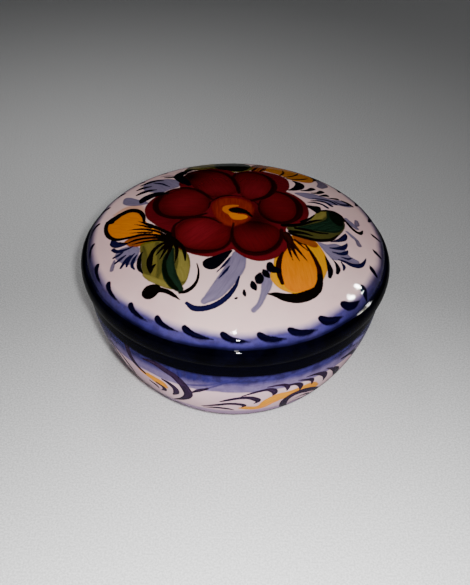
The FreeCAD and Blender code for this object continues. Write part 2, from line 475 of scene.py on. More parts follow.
# The lid's painting, seen from above: x to the right, y away from the viewer
def paint_red_flower(sheet):
    sheet.shape("margin", [(-1, 35), (-4, 38.6), (-9, 41), (-14, 41.4), (-18.5, 38.9), (-21.5, 34),
        (-22.8, 29), (-22.8, 24.5), (-22.4, 21.3), (-25.5, 20.5), (-29.5, 17.5), (-32.8, 13.5), (-34.3, 9),
        (-34, 4.5), (-32.6, .2), (-29.3, -4.3), (-26, -8.7), (-24.2, -12), (-22.7, -15.5), (-19, -19.3),
        (-15, -21.8), (-10, -23.4), (-5.5, -23.1), (-2.3, -21.1), (-1, -20.2), (1, -22.1), (4.5, -24.3),
        (8.5, -24.9), (12.5, -23.5), (15.7, -21.1), (17.8, -17.6), (18.3, -13), (17.6, -8), (18.5, -6),
        (21, -4.8), (24.6, -1.5), (26.4, 3), (26.6, 7.5), (25.6, 12), (22.8, 16), (19.8, 18.3), (18.8, 19),
        (20, 22.5), (20.3, 27), (19.6, 32), (16.9, 36), (12, 38.4), (7, 38.8), (2.5, 37.6)])
    petals = (
        ([(-20, 19.8), (-26, 18), (-30, 12.5), (-30.2, 6.5), (-27.5, 1.5), (-21, -1.5), (-14, -1.5),
          (-10.3, 2.5), (-9.8, 8.5), (-13, 14.5)], 165),
        ([(-12, 38), (-7, 36), (-3, 30.5), (-.7, 24), (.2, 16), (-3, 12), (-9, 10.5), (-14, 15),
          (-17.5, 22), (-19.5, 29), (-17.5, 35.5)], 112),
        ([(3, 36), (8, 35.5), (12, 32), (14, 26), (14, 20), (11.5, 13), (6.5, 9), (3, 9.5), (.8, 14),
          (0, 20), (-1.4, 26.5), (-.8, 32)], 78),
        ([(15, 17.5), (19, 16), (22.3, 11.5), (23, 6), (21.5, 0), (17.5, -4), (13, -3.8), (9.3, -.5),
          (8, 5), (9.5, 11.5)], 12),
        ([(2, -5.5), (-.9, -9), (-1.4, -14), (1, -19.3), (5.5, -21.4), (10, -20.5), (14, -17), (15.9, -12),
          (14.5, -7.5), (9, -5)], -62),
        ([(-13, -2.6), (-19, -4.2), (-22, -9), (-21.3, -14.5), (-17.5, -18.8), (-11.5, -20.7), (-6, -20.2),
          (-2.5, -17), (-1.4, -12), (-2.7, -7), (-7, -3.4)], -135),
    )
    for outline, lean in petals:
        sheet.shape("petal", outline, lean)
    for x, y, spread, strength in ((-20, 8.5, 5, .9), (-7.5, 17, 4.2, .8), (-8.5, 28, 5, .5),
                                   (6.5, 16, 4.5, 1), (7, 25, 4, .6), (15, 7.5, 5, .5),
                                   (5.5, -13, 4.5, .35), (-12, -9, 4.8, .9), (-15, -14, 4, .5)):
        sheet.glow("light", x, y, spread, strength)
    for x, y, spread, strength in ((-19, 30, 3.2, 1), (-20.5, 36, 3, .9), (-4, -4, 3, .4),
                                   (5.5, -6.5, 3.6, .8), (10.5, -4.5, 3, .5), (-30.5, 12, 2.6, .5),
                                   (-28, 3, 2.8, .4), (8, 8, 3, .4), (-12.5, 38, 3.5, .6),
                                   (-9, 10, 2.6, .4), (24.3, 8, 2.4, .5), (-22.5, -3, 2.5, .4)):
        sheet.glow("dark", x, y, spread, strength)
    sheet.strokes("contour",
        ((-24.5, 20.3, .6), (-28, 17.3, .9), (-30.2, 12.5, 1.2), (-30.2, 7, 1.1), (-28, 2, .8),
         (-24.5, -.8, .8), (-20, -2.1, .9), (-15, -2.1, .8), (-11, -.3, .5)),
        ((-26, 19.6, .5), (-21, 20.6, .8), (-16, 18, .7), (-12.3, 13.6, .7), (-9.3, 9, .5)),
        ((-21.5, 36, .7), (-18, 38.6, .9), (-13, 39.2, 1), (-8.5, 37.2, .9), (-5, 33.5, .9), (-2.6, 29, .9),
         (-1.1, 24, .8), (.1, 19, .8), (.6, 14, .6)),
        ((-1.4, 25.5, .5), (-1.8, 29.5, .6), (-.6, 33.5, .6), (2.2, 36.2, .5)),
        ((2, 36.3, .5), (7.2, 36.2, .7), (11.2, 33, .9), (13.5, 27.8, 1.1), (14.2, 22, 1.2),
         (13, 16.5, 1.1), (10.2, 11.8, 1), (5.6, 8.6, .8)),
        ((15, 17.8, .6), (19.3, 16, .9), (22.2, 12, 1.2), (23.2, 7, 1.3), (22.6, 2, 1.2), (20.3, -2, .9),
         (16.5, -4.3, .9), (12.5, -3.8, .7), (9.2, -.8, .5), (7.9, 4, .35), (8.6, 9, .3)),
        ((-1, -6.5, .4), (-1.5, -11.5, .6), (-.9, -16, .8), (1.5, -19.9, .9), (5.5, -21.7, 1),
         (10, -20.8, 1), (13.8, -17.6, .9), (15.8, -13, .8), (16, -8.2, .7)),
        ((-19, -3.4, .4), (-21.8, -6, .6), (-22.4, -10, .8), (-21.4, -14.6, .9), (-18.2, -18.6, .9),
         (-13.5, -20.8, .9), (-8.5, -21, .8), (-4.6, -19.6, .6), (-2.2, -16.5, .6), (-1.3, -12.5, .5)),
        ((-20, -3.6, .5), (-15, -2.4, .6), (-10, -3.2, .5), (-5.5, -6.5, .35)))
    sheet.shape("disc", [(-8.8, 1.9), (-9, 5.2), (-7.3, 8.7), (-4.6, 10.2), (-1.5, 10.3), (2.1, 9.1),
        (4.8, 7.2), (6.1, 4), (5.7, -.8), (4.4, -4.3), (2.1, -6.5), (-1.1, -8.3), (-4.7, -7), (-7.4, -2.9)],
        90)
    sheet.glow("dark", 7, 0, 2.6, .6)
    sheet.strokes("contour",
        ((2.8, 11.2, .2), (-1.6, 11.9, .4), (-6.2, 10.9, .5), (-9.6, 7.2, .35), (-10.4, 3, .2)),
        ((5, 9.4, .2), (7.6, 6.4, .3), (8.2, 2.5, .3)))
    sheet.shape("peach", [(.4, 4.9), (-2.2, 4.9), (-4.4, 4.2), (-5.3, 2.7), (-5, .9), (-4, -.4),
        (-2.6, -1.4), (-1.6, -.6), (-2.2, .6), (-2.9, 1.8), (-2.4, 3), (-.8, 3.7), (.5, 4)])
    sheet.shape("glow", [(-3, -.6), (-1.4, -.2), (1, -.9), (3.3, -1.4), (4, -2.4), (3.2, -3.6), (1.2, -4.4),
        (-.8, -4.3), (-2.2, -3)])
    sheet.shape("fan", [(-3.1, 1.7), (-2, 2.8), (-.1, 3.3), (1.7, 2.8), (3.4, 1.6), (4.8, -.1), (5.8, -2),
        (5.4, -2.6), (4.2, -1.4), (3, -.5), (1.1, -.3), (-1.3, -.1), (-2.5, .7)])


def paint_left_bloom(sheet):
    sheet.stroke("glaze_orange", (-46, 8.5, .8), (-42, 11, 1.6), (-37.5, 10.3, 1.6), (-34.5, 6, 1))
    sheet.shape("yellow", [(-47.4, 3), (-45, 5.6), (-41, 7.8), (-38, 7.2), (-35.4, 4.6), (-33.9, 1),
        (-32.5, -2), (-30, -5), (-26.5, -9), (-25.5, -11.5), (-30, -10), (-34, -9), (-38, -9), (-42, -8.7),
        (-45.4, -6.4), (-47.6, -1)], 150)
    sheet.shape("orange", [(-39.8, -10.8), (-36, -8.8), (-32, -8.8), (-28, -10.4), (-25.5, -12.2),
        (-27.5, -13.8), (-31, -14.4), (-34, -15), (-37.5, -14)], 170)
    sheet.strokes("black",
        ((-33.6, -1.3, .3), (-34.3, 2.5, .5), (-36, 6, .6), (-38.3, 8.1, .8), (-41, 8.7, 1), (-44, 7.2, 1),
         (-46.3, 5.2, 1.2), (-48.2, 4.6, .5)),
        ((-46.2, 3.4, .6), (-48, 3.9, .7), (-48.2, 0, .5), (-47, -4, .55), (-45, -7, .5), (-42, -8.8, .45),
         (-38, -9, .4)))
    sheet.strokes("fan",
        ((-38, -9, .6), (-34, -8.9, .6), (-30.5, -9.6, .5), (-26.5, -11.3, .55), (-23, -13.2, .6)),
        ((-35.9, -.1, .12), (-33.1, -2.4, .5), (-29.8, -5.2, .75), (-26.5, -8, .65), (-23.3, -10.8, .7)),
        ((-37.2, -1.6, .1), (-34, -3.5, .35), (-30.5, -5.9, .35)),
        ((-39.4, -4.4, .1), (-36, -5, .3), (-32.8, -6, .4), (-28.3, -8.4, .4), (-24.3, -11.8, .45)),
        ((-38.4, -6.5, .1), (-33.8, -7.5, .35), (-29.8, -8.5, .3)),
        ((-41.5, -10.6, .3), (-38.7, -11.9, .3), (-35.9, -11.2, .5), (-32.2, -11.2, .5), (-28, -11.9, .5),
         (-23.7, -13.8, .65)),
        ((-37, -13.3, .1), (-33.8, -13, .35), (-30.2, -13, .4), (-26.5, -13.5, .45), (-23, -14.8, .5)),
        ((-24.4, -11.4, .8), (-22.4, -13.9, 1.2), (-20.9, -15.6, 1), (-18.8, -17.6, .3)))


def paint_left_spray(sheet):
    sheet.shape("wash", [(-41.5, -14.5), (-37, -13.8), (-33.8, -15.5), (-33.6, -19), (-34.5, -22.5),
        (-37, -23), (-40, -21), (-42.3, -18)], -60)
    sheet.stroke("grey", (-42.3, -19.6, .5), (-42.6, -21.9, .8), (-42.7, -23.7, .75))
    sheet.strokes("navy",
        ((-44.4, -8.2, .5), (-43.9, -10.2, 1.1), (-42.2, -11.7, 1.2), (-39.9, -12.2, .7),
         (-38.6, -12.1, .2)),
        ((-43.6, -13.6, .55), (-42.2, -15, .65), (-40.6, -15.4, .6), (-37.8, -14.9, .35), (-36, -14.1, .15)),
        ((-42.8, -18, .35), (-41, -17.2, .5), (-39.7, -16.4, .2)),
        ((-41.8, -20.9, .3), (-40, -19.3, .5), (-38.3, -18, .2)),
        ((-39.5, -23.7, .35), (-38.6, -21.7, .5), (-37.8, -20, .4), (-36.7, -18.5, .15)),
        ((-37.4, -23.6, .3), (-37.2, -21.4, .5), (-36.2, -19.2, .4), (-35.1, -18.1, .15)),
        ((-34.5, -25.6, .2), (-35.5, -23.6, .5), (-35.2, -21, .5), (-34.3, -19.1, .15)))
    sheet.stroke("navy_black", (-31.4, -27.9, .1), (-32.8, -25.4, .5), (-33.2, -22, .5), (-33, -19.5, .25),
        (-32.4, -18.2, .05))


def paint_left_leaf(sheet):
    sheet.shape("leaf", [(-33.4, -14.3), (-30, -13), (-26, -13.2), (-23, -14.5), (-20, -16.5), (-17, -20.2),
        (-15.4, -24.4), (-15.2, -28.7), (-16, -33.1), (-17.6, -35.4), (-19.8, -36.3), (-23.1, -35.3),
        (-27.2, -32.7), (-30.6, -30), (-31.8, -27), (-32.5, -22.4), (-33.3, -18.3)], -75)
    sheet.strokes("olive",
        ((-32.4, -15.5, .5), (-31.6, -20, 1.1), (-30.6, -25.5, 1.3), (-29, -29.5, .6)),
        ((-27.5, -15, .9), (-25.8, -20, 1.4), (-25.3, -26, 1.3), (-26.2, -31, .5)),
        ((-21, -17, .7), (-20, -22, 1), (-19.6, -27, .8)))
    sheet.shape("lime", [(-20, -20), (-17.6, -21.5), (-16, -25.5), (-15.6, -29.5), (-16.5, -33),
        (-18.6, -33), (-19.6, -29), (-19.4, -24)], -85)
    sheet.stroke("lime", (-31, -28.6, .4), (-28.5, -30.6, 1), (-25.5, -32.6, 1.1), (-22.5, -34.4, .8))
    sheet.stroke("olive", (-18.6, -27.6, .3), (-17.4, -30.4, 1), (-17.2, -33.4, .7))
    sheet.stroke("green", (-22.3, -19, .9), (-22.8, -22.5, 1.6), (-22.7, -26.5, 1.9), (-21.8, -30.5, 2),
        (-20, -33.8, 1.7), (-18, -36.4, 1))
    sheet.stroke("green_black", (-23.6, -21, .4), (-24.2, -25, .7), (-23.4, -29.5, .8), (-21.4, -33.5, .9),
        (-19.2, -36.2, .7))
    sheet.stroke("fan", (-22.3, -14.5, .7), (-25.3, -15.2, .6), (-28, -17.5, .65), (-29.2, -20.5, .8),
        (-29.4, -24, 1), (-28.7, -28.2, .2))
    sheet.shape("black", [(-30.2, -24.6), (-28.9, -25.2), (-27, -24.5), (-27.6, -26.4), (-28.5, -28.7),
        (-29.6, -26.9)])
    sheet.strokes("fan",
        ((-22.5, -15, .7), (-25, -17.1, .6), (-27.4, -20.6, .2)),
        ((-22.5, -15.5, .6), (-24, -18, .6), (-25.9, -22.7, .2)),
        ((-22.3, -15.5, .7), (-22.8, -18.8, .6), (-23.7, -23, .3)),
        ((-21.5, -15, .7), (-20.5, -18, .6), (-20.2, -21.5, .5), (-20.6, -25.3, .15)),
        ((-20.8, -15, .7), (-18.5, -18, .55), (-17.5, -21, .55), (-17, -24.7, .2)))
    sheet.strokes("black",
        ((-28.1, -36, 2), (-26.8, -35.4, 1.5), (-24.9, -35.7, .7), (-22.3, -36.7, .55), (-20, -38.4, .4),
         (-17.8, -40.3, .05)),
        ((-13.1, -26, .05), (-12.3, -29.3, .2), (-12.5, -33, .3), (-13.9, -35.7, .45), (-16.2, -37.3, .45),
         (-18.2, -37.6, .25)))


def paint_near_middle(sheet):
    sheet.stroke("wash", (1.2, -23, 2.6), (0, -28, 3.3), (-3, -33.5, 3.2), (-6.3, -38.2, 2.6),
        (-9.8, -41.2, 1.2))
    sheet.stroke("navy_black", (-1.5, -20.8, .25), (-3.6, -22.8, .9), (-6, -25, 1.5), (-8.2, -26.4, 1.9),
        (-9.7, -26, .9), (-10.8, -25.7, .25))
    sheet.strokes("navy",
        ((-1.6, -23.3, .15), (-3.4, -26.6, .4), (-6.2, -30.2, .1)),
        ((-1.9, -27.5, .15), (-3.4, -30, .38), (-5.6, -33, .1)),
        ((1.4, -31.9, .25), (.4, -35.3, .5), (-1.8, -39, .75), (-5, -42, .85), (-9, -43.7, .85),
         (-13, -43.6, .85), (-15.6, -41.6, .45)))
    sheet.stroke("wash", (10.8, -30, 1.8), (10.6, -34, 1.9), (9.6, -38, 1.2), (8.2, -41.8, .9),
        (6.3, -44.2, .9))
    sheet.strokes("navy_black",
        ((11.7, -26, .8), (12.1, -27.6, 1.1), (14.2, -28.2, .8)),
        ((9.6, -28.7, .35), (10.3, -30.1, .8), (11.3, -31.3, .25)),
        ((8.3, -30.2, .35), (8.1, -32, 1.1), (8, -33.2, .9)),
        ((5.8, -33.8, .35), (6.2, -35.3, .8), (6.9, -36.6, .3)),
        ((3.1, -37, .15), (3.2, -38.2, .42), (3.5, -39.2, .2)),
        ((.3, -40.3, .2), (.8, -40.1, .22)))


def paint_right_bloom(sheet):
    sheet.shape("lemon", [(20, -10.2), (24, -10.6), (28, -11.6), (30.2, -15), (31.6, -18.5), (32, -22),
        (31.1, -26), (29.6, -29.5), (28, -33), (24.8, -35.4), (21, -36.6), (17, -36.3), (14, -34.8),
        (12.2, -32.5), (11.7, -30), (12.6, -28.4), (12.9, -25.5), (13.2, -23), (14.5, -21), (16, -19),
        (17.5, -17), (18.3, -13.5)], -75)
    sheet.shape("yellow", [(19.6, -12), (24, -13.4), (26.3, -17.3), (27.9, -21.7), (28.6, -26),
        (28.2, -30.3), (26.3, -33.4), (23, -35.4), (19.3, -35.9), (16.6, -34.2), (15.3, -30.5), (15, -26.5),
        (15.6, -22.5), (17.4, -18)], -80)
    sheet.shape("orange", [(20, -10.4), (24, -10.8), (27.8, -11.9), (28.8, -13.8), (27, -15), (23, -13.5),
        (20.5, -12.8)], -20)
    sheet.strokes("brown",
        ((16.3, -19.8, .3), (15.1, -23, .7), (14.6, -26.5, .85), (14.9, -30, .75), (15.8, -33.2, .55)),
        ((24.3, -14.3, .25), (26, -17.5, .45), (27.6, -21, .65), (28.7, -25, .8), (28.8, -29, .95)))
    sheet.stroke("black", (28.8, -27.5, .5), (28.6, -30.5, .8), (27.6, -33.5, .95), (25, -36, 1.25),
        (21.2, -38, 1.3), (17, -38.5, 1.1), (13.6, -37.9, .65), (11, -37.9, .12))
    sheet.strokes("brown",
        ((17.6, -10.6, 1.4), (18.4, -12.8, 1.5), (19, -14.8, .9)),
        ((19.6, -14.5, .7), (22, -18.3, .4), (24.8, -22.2, .12)),
        ((19, -15, .7), (20.2, -18.8, .45), (21.9, -22.7, .12)),
        ((18.3, -15, .6), (18.6, -18.8, .4), (19.6, -22.8, .12)),
        ((20.6, -12.6, .3), (22.6, -14.8, .32), (25, -17.2, .12)),
        ((20.8, -13.2, .3), (23, -14, .25), (24.6, -14.4, .2)))


def paint_right_leaf(sheet):
    sheet.shape("moss", [(17.8, -6.6), (20.5, -4.6), (24, -2.6), (26.6, .2), (28.3, 4), (30.8, 8.2),
        (34, 9.9), (37, 10.1), (39.2, 8.2), (40.1, 4.5), (39.9, 1), (38.6, -2.4), (36.6, -6), (34.4, -8.6),
        (31, -10.3), (27, -10.9), (22, -10), (19.2, -8.8)], 35)
    sheet.shape("lime", [(26.8, .6), (28.6, 4.4), (31, 7.8), (33.6, 8.9), (33.2, 5.8), (31.2, 2.6),
        (28.6, .8)], 60)
    sheet.shape("green", [(33.6, 8.6), (36.5, 9.6), (39, 7.5), (39.8, 3.5), (39, -.5), (36.6, -3.6),
        (33, -5), (27, -5.8), (21.6, -6), (24.2, -3.8), (28.2, -1.2), (31.6, 1.6), (33.4, 4.6)], 35)
    sheet.stroke("olive", (20.5, -8.8, .3), (25, -8, .7), (29, -8, .8), (33, -7.2, .5))
    sheet.shape("green_black", [(34.6, 8.8), (37, 9.4), (39, 7.4), (39.5, 4), (38.7, 1.2), (36.3, 1.6),
        (34.6, 4.6)], 60)
    sheet.strokes("black",
        ((16.5, -5.6, .5), (19.5, -4.9, .6), (22.3, -3.9, .5), (25.2, -2.1, .4), (28.2, .3, .3),
         (31.2, 2.2, .12)),
        ((23.5, -1.8, .4), (26.4, .9, .35), (28.6, 4.3, .12)),
        ((21, -6.2, .3), (25, -6.1, .4), (29, -6.4, .3), (33, -5.6, .15)),
        ((19, -8.6, .5), (22, -8.3, .5), (25, -8.4, .35), (27.2, -8.8, .12)),
        ((19.5, -9.8, .4), (24, -10.6, .45), (28, -10.9, .5), (31, -10.2, .5), (34.2, -8.5, .4),
         (36.6, -5.3, .15)),
        ((31, 8.2, .25), (34, 9.7, .4), (36.7, 9.9, .5), (38.8, 8.5, .55), (40, 5.6, .4)),
        ((39.6, 7.6, .25), (41, 4.9, .3), (42.6, 2.1, .42), (44.4, .4, .5), (45.9, .5, .5), (47, 2.8, .1)))
    sheet.stroke("wash", (41, 7.5, .8), (42.6, 5, 1.3), (44.6, 3, 1))
    sheet.stroke("grey", (45.2, 8.3, .8), (45.1, 6, 1.1), (44.6, 4.6, .5))
    sheet.stroke("wash", (40.5, -1.4, .6), (42.4, -3.4, .8), (43.9, -5, .7))
    sheet.stroke("grey", (43.9, -5.2, .8), (44.5, -7.3, 1))


def paint_right_spray(sheet):
    sheet.shape("wash", [(28.6, -11.6), (32, -11.8), (35.5, -10.3), (38.4, -11.5), (40.2, -14.8),
        (43.6, -16.2), (42.5, -18), (38, -18), (34, -19), (32, -17), (30.2, -14.6)], -20)
    sheet.strokes("navy",
        ((33.8, -9.8, .2), (36.4, -8.3, .55), (38.5, -6.4, .95), (39.5, -4.4, .75), (39.8, -2.8, .15)),
        ((33.2, -13.3, .2), (35.6, -12.8, .5), (38, -11.5, .85), (39.4, -9.6, .45), (39.8, -8.2, .1)),
        ((34, -15.1, .2), (36.7, -15.1, .5), (38.8, -13.9, .65), (39.7, -12.3, .2)),
        ((37, -16.6, .15), (39.4, -16.6, .35), (41.2, -15.3, .1)),
        ((35.9, -18.2, .2), (38.2, -18.4, .5), (40.6, -19, .75), (43, -18.6, .8), (45, -16.7, .55),
         (46.5, -13.4, .1)),
        ((36.9, -19.2, .2), (37.7, -20.8, .5), (37.4, -22.6, .25)))
    sheet.strokes("navy_black",
        ((33.6, -18.6, .05), (34.9, -20.5, .3), (35.5, -22.7, .55), (35, -24.7, .35)),
        ((31, -17.8, .05), (31.9, -20.8, .4), (32.6, -24.2, .7), (32.2, -27.2, .4)))


def paint_far_right(sheet):
    sheet.shape("wash", [(21.8, 18.6), (25, 20.6), (29, 21.6), (32.8, 21), (37, 20.6), (41.6, 22.6),
        (44.8, 20.6), (43.4, 18), (40, 17), (35, 15.4), (30.4, 16.6), (27, 16)], 10)
    sheet.strokes("navy_black",
        ((19.8, 20.7, .3), (21.9, 22.3, .8), (24, 25.4, 1.3), (24.4, 29, 1.2), (22, 31.4, .3)),
        ((24.6, 22.1, .15), (27.4, 23.9, .5), (29.6, 26.7, .8)),
        ((28.8, 22.1, .15), (31.2, 23.2, .5), (33.2, 25.9, .75)),
        ((31.8, 20.9, .15), (34.9, 23.2, .7)),
        ((35.4, 21.2, .15), (37.6, 21.9, .4), (39.2, 22.6, .5)),
        ((41, 22.2, .3), (43, 21.6, .6), (44.8, 20.2, .5)))
    sheet.strokes("navy",
        ((37.6, 19.3, .2), (40.3, 18.4, .5), (43, 19.6, .6)),
        ((28.6, 17.2, .15), (32.6, 18.2, .4), (36, 18.4, .5), (38, 17.2, .6)),
        ((27.8, 14.8, .15), (31, 16, .45), (33.8, 16.2, .55), (36, 14.6, .7)),
        ((26.6, 13, .15), (29.4, 13.9, .45), (32.2, 13.8, .55), (34.2, 12.2, .6)))
    sheet.shape("navy_black", [(25.6, 10.2), (28.4, 11), (31.2, 11.2), (31.4, 8.6), (30, 6), (27.9, 7.6)])
    sheet.shape("amber", [(21, 32.4), (17, 36.5), (12, 39.5), (8, 42.5), (8.5, 48), (13, 51.3), (20, 50),
        (26, 46.5), (30.5, 42), (31, 37), (28.6, 33), (24.5, 32)], 60)
    sheet.shape("orange", [(8.4, 37.6), (4.8, 40), (5.3, 47), (8, 51.6), (12.5, 52.4), (11, 46),
        (11.6, 41)], 75)
    sheet.strokes("brown",
        ((19.4, 32.9, .3), (22.8, 34, .45), (26, 36.2, .5), (28.6, 39.2, .2)),
        ((18.6, 34.4, .3), (21.6, 37.4, .45), (24, 41.4, .4), (25, 45.4, .12)),
        ((17, 36, .3), (18.4, 40, .4), (18.6, 45.4, .12)))
    sheet.stroke("fan", (30.4, 36.4, .2), (31.6, 40.4, .7), (28.6, 45.2, .8), (22.4, 49.4, .8),
        (15, 51.6, .4))
    sheet.strokes("brown",
        ((5.8, 38.5, .4), (7.2, 43.5, .45), (9, 49.5, .3)),
        ((9, 39, .3), (10.6, 43.5, .4), (12.4, 48, .2)),
        ((6, 46, .3), (8, 50.5, .4), (11, 52.6, .3)))
    sheet.stroke("grey", (33, 31, 1.5), (34.5, 35, 2.2), (33, 39, 1.3))


def paint_far_left(sheet):
    sheet.shape("leaf", [(-21, 41.4), (-21.6, 44.8), (-19, 48), (-14.6, 50.6), (-8, 52), (-1, 52.6),
        (3.6, 50.4), (5.4, 46), (5.6, 41), (3, 37), (-2, 35.6), (-5.4, 38), (-12, 40.2)], 60)
    sheet.stroke("olive", (-6, 40.6, .5), (-11, 43.4, 1.3), (-15.4, 46.8, 1.2), (-17, 48, .5))
    sheet.stroke("lime", (-9, 42.2, .3), (-13.6, 43.6, .9), (-17.8, 44.6, .8))
    sheet.shape("green", [(-5, 38.6), (-9.4, 43.6), (-9.6, 49), (-5.4, 51.6), (.4, 52), (4.4, 48.6),
        (4.8, 43), (2.4, 38), (-1.4, 36.6)], 80)
    sheet.shape("green_black", [(-4, 38.4), (-7.4, 43.4), (-6.8, 48.6), (-3, 50.8), (1.6, 49.4), (4, 45),
        (3.4, 39.6), (0, 37)], 80)
    sheet.strokes("fan",
        ((-4.6, 39, .5), (-9, 41.2, .5), (-14, 43, .4), (-18.6, 44, .12)),
        ((-4.4, 39.2, .5), (-8.4, 43, .5), (-12.4, 46.4, .4), (-15.4, 49, .12)),
        ((-4, 39.4, .5), (-6.8, 43.6, .5), (-8.6, 47.6, .4), (-9, 51, .12)),
        ((-18.6, 41.8, .3), (-20.8, 44.6, .5), (-19.2, 48.4, .4), (-15, 50.8, .2)))
    sheet.stroke("lime", (-1.8, 36.6, .5), (-1.2, 38.6, .5), (-.4, 40, .2))
    sheet.stroke("navy_black", (-16.6, 42.4, .3), (-20, 41.6, .9), (-22.6, 38.4, 1.4), (-23.8, 34.6, 1.4),
        (-22.6, 30.4, 1.3), (-20.6, 26.4, 1.2), (-18.6, 22.6, .5))
    sheet.shape("wash", [(-25.8, 20.6), (-22.6, 22.4), (-22.6, 27.4), (-26, 31.6), (-31, 34.2),
        (-35.8, 34.6), (-37.6, 30.4), (-37, 25.6), (-34.4, 21.6), (-29.6, 18.8)], 120)
    sheet.strokes("navy_black",
        ((-36.2, 13.6, .7), (-35.2, 15.8, 1.5), (-32.6, 17.6, 1.5), (-29.6, 18, 1.1), (-26.6, 17.4, .4)),
        ((-39, 21.2, .4), (-37, 22.4, .9), (-34.4, 23, .7), (-31.6, 22.6, .2)),
        ((-39.6, 26.4, .3), (-37.4, 27.4, .8), (-34.4, 27.2, .3)),
        ((-38.6, 31, .3), (-36, 32.6, .8), (-32.8, 33.2, .6), (-29.8, 32, .2)))
    sheet.stroke("navy", (-33.4, 31, .3), (-30, 28, .5), (-26.4, 23.4, .12))
    sheet.stroke("navy_black", (-29.6, 35.6, .2), (-27, 34.6, .6), (-24.6, 33.4, .3))
    sheet.stroke("grey", (-31.4, 38, .3), (-28.4, 37.4, .6), (-26, 36, .3))
    sheet.shape("wash", [(-44, 21), (-41.6, 20.4), (-38.6, 17.2), (-35, 14), (-33.4, 11.4), (-37, 11.2),
        (-41.4, 13.2), (-44, 16.4)], 150)


# The border's dashes, near ones as the painter set them and far ones at even steps: degrees, distance
# out, width, length in degrees
NEAR_DASHES = ((-172, 52, .5, 10), (-158.2, 52, .7, 11), (-146, 51.9, .75, 11),
               (-131, 52.2, .8, 10), (-118.6, 52, .85, 9.5), (-107.5, 52.3, .9, 11),
               (-93.7, 52.5, .9, 9.5), (-81, 52.7, .9, 9.2), (-69.9, 52.7, .95, 10), (-57, 52.5, 1.2, 8.5),
               (-45.3, 52, 1.4, 7))
FAR_DASHES = tuple((13 + 12.4 * i, 51.8, .55, 9) for i in range(14))
# The short thorns at the right: degrees, distance out, width
THORNS = ((-33.4, 51, 1.3), (-21, 50.2, .9), (-9.6, 50, .75), (1.4, 50, .65))
# A dash from head to tail, as (share of its length, distance out, share of its width)
DASH = ((0, .1, 1.05), (.08, .6, 1.2), (.28, 1.3, .9), (.6, 1.75, .6), (1, 2, .08))
# A thorn from its tip, as (degrees ahead, distance out, share of its width)
THORN = ((2, 0, .1), (1.4, .6, .6), (.6, 1.2, 1), (-.4, 2.2, .9), (-1.4, 3.4, .6))


def round_lid(degrees, radius, width):
    """A point of a stroke, given by its direction and distance from the middle of the lid."""
    turn = math.radians(degrees)
    return radius * math.cos(turn), radius * math.sin(turn), width


def paint_border(sheet):
    for angle, start, head, length in NEAR_DASHES + FAR_DASHES:
        sheet.stroke("dash", *[round_lid(angle + ahead * length, start + out, head * share)
                               for ahead, out, share in DASH])
    for angle, start, head in THORNS:
        sheet.stroke("dash", *[round_lid(angle + ahead, start + out, head * share)
                               for ahead, out, share in THORN])


# The base's painting: x is the way round in millimetres at the rim, zero at the front, and y is the height
def round_base(degrees):
    return math.radians(degrees) * rim_radius


